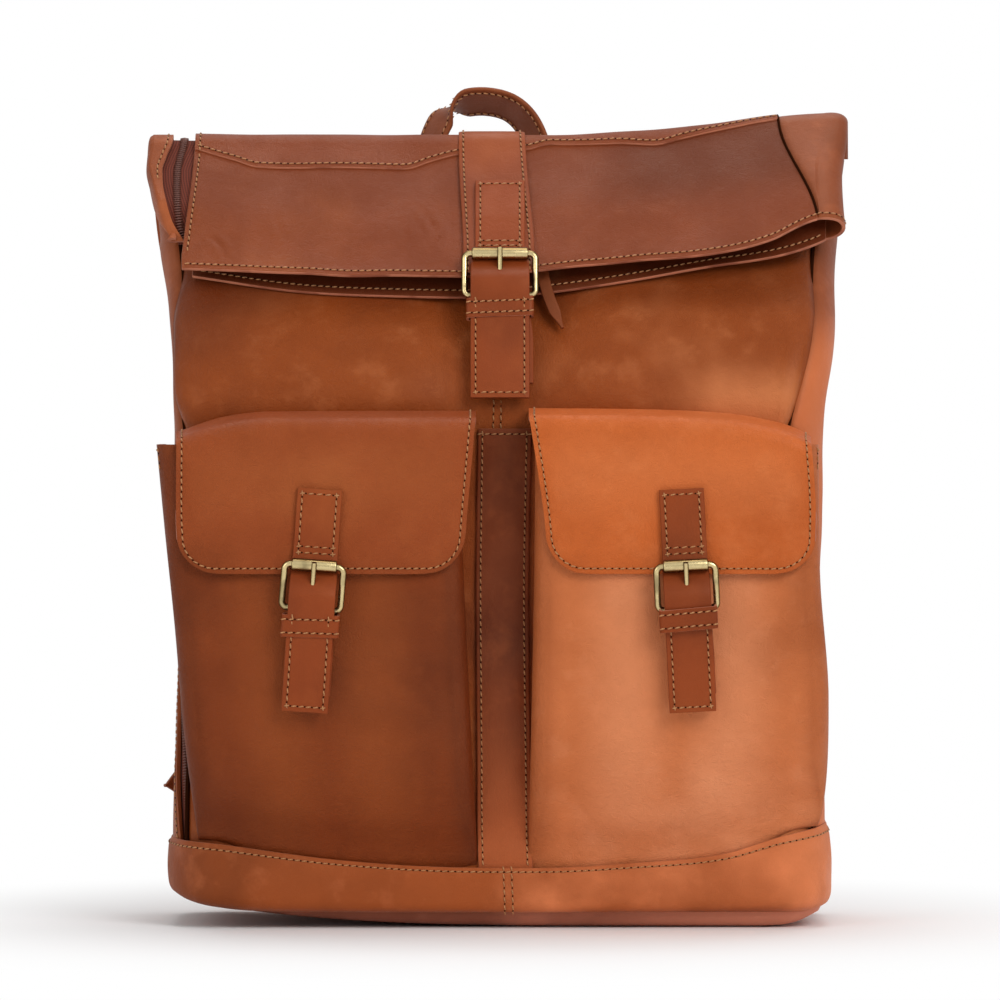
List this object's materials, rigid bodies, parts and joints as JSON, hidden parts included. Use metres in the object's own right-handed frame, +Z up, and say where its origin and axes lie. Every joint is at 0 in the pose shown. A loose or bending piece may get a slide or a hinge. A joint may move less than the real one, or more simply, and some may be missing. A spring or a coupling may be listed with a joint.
{
  "type": "roll-top backpack",
  "caption": "Leather roll-top backpack with a strapped, folded mouth, flapped front pockets with buckled straps, zips, a carry handle and padded shoulder straps.",
  "frame": {"origin": "on the ground, under the middle of the bag's body", "axes": "+Z up, -Y towards the front pockets, +X towards the right as seen from the front"},
  "size_m": [0.376, 0.2123, 0.464],
  "materials": {
    "tan_leather": "waxed full-grain leather, satin",
    "strap_leather": "strap leather with burnished edges",
    "dark_leather": "darker waxed leather",
    "lining_cloth": "plain woven cotton",
    "zip_tape": "woven tape with a dark coil",
    "antique_brass": "antique brushed",
    "fibre_board": "rough fibre board"
  },
  "bodies": {
    "bag": {"front_panel": "tan_leather", "front_placket": "dark_leather", "left_gusset_front": "tan_leather", "left_gusset_back": "tan_leather", "right_gusset": "tan_leather", "back_panel": "tan_leather", "bottom_panel": "dark_leather", "base_band": "tan_leather", "bottom_board": "fibre_board", "main_lining": "lining_cloth", "left_pocket": "tan_leather", "right_pocket": "tan_leather", "side_zip": "zip_tape", "snap_studs": "antique_brass", "back_yoke": "tan_leather", "strap_tabs": "strap_leather", "fold_bend": "tan_leather", "left_shoulder_pad": "tan_leather", "left_lower_strap": "strap_leather", "right_shoulder_pad": "tan_leather", "right_lower_strap": "strap_leather"},
    "roll_top": {"roll_outer_panel": "tan_leather", "roll_inner_panel": "tan_leather", "roll_left_gusset": "tan_leather", "roll_right_gusset": "tan_leather", "roll_side_zip": "zip_tape", "closing_strap": "tan_leather", "mouth_zip": "zip_tape", "main_billet_patch": "strap_leather"},
    "mouth_slider": {"mouth_zip_slider": "antique_brass"},
    "mouth_pull": {"mouth_zip_pull": "strap_leather"},
    "side_slider": {"side_zip_slider": "antique_brass"},
    "side_pull": {"side_zip_pull": "strap_leather"},
    "handle": {"carry_handle": "strap_leather"},
    "left_adjuster": {"left_adjuster": "antique_brass"},
    "right_adjuster": {"right_adjuster": "antique_brass"},
    "main_strap": {"main_billet": "strap_leather", "main_buckle_frame": "antique_brass", "main_buckle_strap": "strap_leather"},
    "main_roller": {"main_buckle_roller": "antique_brass"},
    "main_tongue": {"main_buckle_tongue": "antique_brass"},
    "main_keeper": {"main_keeper": "strap_leather"},
    "left_strap": {"left_billet": "strap_leather", "left_buckle_frame": "antique_brass", "left_buckle_strap": "strap_leather"},
    "left_roller": {"left_buckle_roller": "antique_brass"},
    "left_tongue": {"left_buckle_tongue": "antique_brass"},
    "left_keeper": {"left_keeper": "strap_leather"},
    "left_flap": {"left_flap": "tan_leather", "left_billet_patch": "strap_leather"},
    "right_strap": {"right_billet": "strap_leather", "right_buckle_frame": "antique_brass", "right_buckle_strap": "strap_leather"},
    "right_roller": {"right_buckle_roller": "antique_brass"},
    "right_tongue": {"right_buckle_tongue": "antique_brass"},
    "right_keeper": {"right_keeper": "strap_leather"},
    "right_flap": {"right_flap": "tan_leather", "right_billet_patch": "strap_leather"}
  },
  "joints": [
    {"name": "roll_top_fold", "type": "hinge", "parent": "bag", "child": "roll_top", "pos_m": [0, 0.02, 0.416], "axis": [-1, 0, 0], "range_deg": [0, 143], "deforming": ["fold_bend"]},
    {"name": "mouth_zip_slide", "type": "slide", "parent": "roll_top", "child": "mouth_slider", "axis": [-1, 0, 0], "range_m": [-0.12, 0.17]},
    {"name": "mouth_pull_swing", "type": "hinge", "parent": "mouth_slider", "child": "mouth_pull", "pos_m": [0.028, -0.03056, 0.36232], "axis": [-1, 0, 0], "range_deg": [0, 20]},
    {"name": "side_zip_slide", "type": "slide", "parent": "bag", "child": "side_slider", "axis": [0, -0.1483, -0.9889], "range_m": [-0.03, 0.11]},
    {"name": "side_pull_swing", "type": "hinge", "parent": "side_slider", "child": "side_pull", "pos_m": [-0.1792, -0.0178, 0.23], "axis": [0, 1, 0], "range_deg": [0, 80]},
    {"name": "handle_fold", "type": "hinge", "parent": "bag", "child": "handle", "pos_m": [0, 0.04979, 0.376], "axis": [-1, 0, 0], "range_deg": [0, 70]},
    {"name": "main_strap_swing", "type": "hinge", "parent": "roll_top", "child": "main_strap", "pos_m": [0, -0.04971, 0.366], "axis": [-1, 0, 0], "range_deg": [0, 75]},
    {"name": "main_roller_spin", "type": "hinge", "parent": "main_strap", "child": "main_roller", "pos_m": [0, -0.04971, 0.366], "axis": [1, 0, 0], "continuous": true},
    {"name": "main_tongue_pivot", "type": "hinge", "parent": "main_strap", "child": "main_tongue", "pos_m": [0, -0.05466, 0.34303], "axis": [1, 0, 0], "range_deg": [0, 5]},
    {"name": "main_keeper_slide", "type": "slide", "parent": "main_strap", "child": "main_keeper", "axis": [0, -0.2106, -0.9776], "range_m": [0, 0.005]},
    {"name": "left_flap_lift", "type": "hinge", "parent": "bag", "child": "left_flap", "pos_m": [0, -0.0634, 0.271], "axis": [-1, 0, 0], "range_deg": [0, 80]},
    {"name": "left_strap_swing", "type": "hinge", "parent": "left_flap", "child": "left_strap", "pos_m": [-0.099, -0.107, 0.197], "axis": [-0.9962, 0, 0.0872], "range_deg": [0, 75]},
    {"name": "left_roller_spin", "type": "hinge", "parent": "left_strap", "child": "left_roller", "pos_m": [-0.099, -0.107, 0.197], "axis": [0.9962, 0, -0.0872], "continuous": true},
    {"name": "left_tongue_pivot", "type": "hinge", "parent": "left_strap", "child": "left_tongue", "pos_m": [-0.10104, -0.10445, 0.17373], "axis": [0.9962, 0, -0.0872], "range_deg": [0, 5]},
    {"name": "left_keeper_slide", "type": "slide", "parent": "left_strap", "child": "left_keeper", "axis": [-0.0866, 0.1086, -0.9903], "range_m": [0, 0.005]},
    {"name": "right_flap_lift", "type": "hinge", "parent": "bag", "child": "right_flap", "pos_m": [0, -0.0634, 0.271], "axis": [-1, 0, 0], "range_deg": [0, 80]},
    {"name": "right_strap_swing", "type": "hinge", "parent": "right_flap", "child": "right_strap", "pos_m": [0.099, -0.107, 0.197], "axis": [-0.9986, 0, -0.0523], "range_deg": [0, 75]},
    {"name": "right_roller_spin", "type": "hinge", "parent": "right_strap", "child": "right_roller", "pos_m": [0.099, -0.107, 0.197], "axis": [0.9986, 0, 0.0523], "continuous": true},
    {"name": "right_tongue_pivot", "type": "hinge", "parent": "right_strap", "child": "right_tongue", "pos_m": [0.10022, -0.10445, 0.17367], "axis": [0.9986, 0, 0.0523], "range_deg": [0, 5]},
    {"name": "right_keeper_slide", "type": "slide", "parent": "right_strap", "child": "right_keeper", "axis": [0.052, 0.1086, -0.9927], "range_m": [0, 0.005]},
    {"name": "left_adjuster_slide", "type": "slide", "parent": "bag", "child": "left_adjuster", "axis": [-0.4023, -0.1989, -0.8936], "range_m": [0, 0.012]},
    {"name": "right_adjuster_slide", "type": "slide", "parent": "bag", "child": "right_adjuster", "axis": [0.4023, -0.1989, -0.8936], "range_m": [0, 0.012]}
  ]
}
